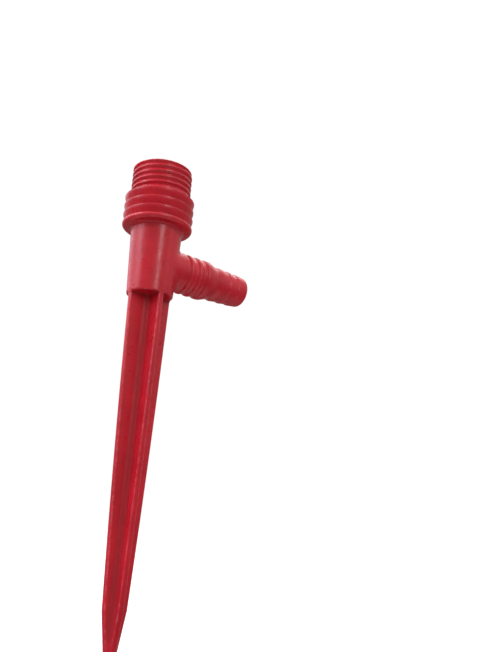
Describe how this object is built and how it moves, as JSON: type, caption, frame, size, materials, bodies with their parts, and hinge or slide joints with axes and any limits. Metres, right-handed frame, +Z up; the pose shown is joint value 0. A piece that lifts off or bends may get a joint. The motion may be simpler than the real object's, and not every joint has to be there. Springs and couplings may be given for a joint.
{
  "type": "sprinkler riser stake",
  "caption": "Ground stake that carries a small sprinkler: a threaded outlet above a ribbed grip collar, a stepped hose barb at the side and a four-ribbed spike below.",
  "frame": {"origin": "where the axis of the vertical water channel meets the axis of the hose barb", "axes": "+Z up the channel and out of the threaded outlet, +X out along the hose barb"},
  "size_m": [0.0504, 0.0242, 0.1685],
  "materials": {
    "red_plastic": "satin moulded polyolefin in a solid red, slightly waxy, with light wear on the edges"
  },
  "bodies": {
    "root": {"outlet_thread": "red_plastic", "grip_collar": "red_plastic", "riser_body": "red_plastic", "barb_large_stage": "red_plastic", "barb_small_stage": "red_plastic", "stake_rib_inlet_side": "red_plastic", "stake_rib_back": "red_plastic", "stake_rib_far_side": "red_plastic", "stake_rib_front": "red_plastic", "stake_point": "red_plastic"}
  },
  "joints": []
}
